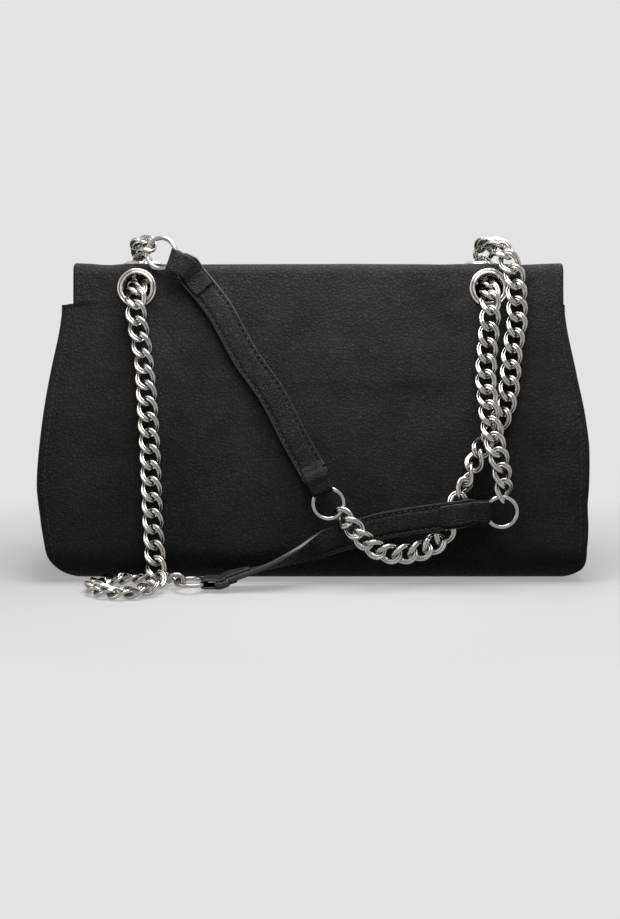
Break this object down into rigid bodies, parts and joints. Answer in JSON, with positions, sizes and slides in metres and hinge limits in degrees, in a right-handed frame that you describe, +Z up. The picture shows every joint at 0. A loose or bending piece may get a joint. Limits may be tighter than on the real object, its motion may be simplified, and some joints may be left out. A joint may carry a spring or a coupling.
{
  "type": "chain shoulder bag",
  "caption": "Soft black leather flap bag with a loop of curb chain and two leather straps running through eyelets.",
  "frame": {"origin": "middle of the underside of the base", "axes": "+X across the bag, -Y the side of the back panel, +Z up"},
  "size_m": [0.2804, 0.1289, 0.1767],
  "materials": {
    "leather": "black pebbled leather, satin",
    "strap_leather": "black grained strap leather with painted edges",
    "lining": "fine grey twill lining",
    "tape": "woven zip tape",
    "board": "pressed fibre board",
    "chain_metal": "polished nickel",
    "fitting_metal": "polished nickel",
    "magnet": "dull sintered ferrite"
  },
  "bodies": {
    "bag": {"back_panel": "leather", "front_panel": "leather", "gusset_left": "leather", "gusset_right": "leather", "base_panel": "leather", "base_board": "board", "back_facing": "leather", "front_facing": "leather", "lining_back": "lining", "lining_front": "lining", "lining_left": "lining", "lining_right": "lining", "lining_base": "lining", "pocket_bag": "lining", "zip_tapes": "tape", "zip_teeth": "fitting_metal", "snap_socket": "fitting_metal", "snap_magnet": "magnet", "snap_socket_plate": "fitting_metal", "eyelet_back_left": "fitting_metal", "eyelet_back_right": "fitting_metal", "washer_back_left": "fitting_metal", "washer_back_right": "fitting_metal", "strap_upper": "strap_leather", "strap_lower": "strap_leather", "loop_upper_top": "strap_leather", "loop_upper_low": "strap_leather", "loop_lower_left": "strap_leather", "loop_lower_right": "strap_leather", "ring_upper_top": "chain_metal", "ring_upper_low": "chain_metal", "ring_lower_left": "chain_metal", "ring_lower_right": "chain_metal", "chain_left_fall": "chain_metal", "chain_left_turn": "chain_metal", "chain_right_fall": "chain_metal", "chain_right_turn": "chain_metal", "chain_right_drape": "chain_metal"},
    "flap_body": {"flap": "leather", "flap_reinforcement": "board", "flap_lining": "lining", "snap_cap": "fitting_metal", "snap_cap_plate": "fitting_metal", "eyelet_flap_left": "fitting_metal", "eyelet_flap_right": "fitting_metal", "washer_flap_left": "fitting_metal", "washer_flap_right": "fitting_metal"},
    "zip_slider": {"zip_slider": "fitting_metal"},
    "zip_pull": {"zip_pull": "fitting_metal"}
  },
  "joints": [
    {"name": "flap_hinge", "type": "hinge", "parent": "bag", "child": "flap_body", "pos_m": [0, -0.01512, 0.16229], "axis": [1, 0, 0], "range_deg": [0, 110], "deforming": ["chain_left_turn", "chain_right_turn"]},
    {"name": "zip_slide", "type": "slide", "parent": "bag", "child": "zip_slider", "axis": [1, 0, 0], "range_m": [-0.065, 0.065]},
    {"name": "zip_pull_swing", "type": "hinge", "parent": "zip_slider", "child": "zip_pull", "pos_m": [0, -0.033, 0.112], "axis": [0, -0.9839, 0.1788], "range_deg": [-80, 80]}
  ]
}
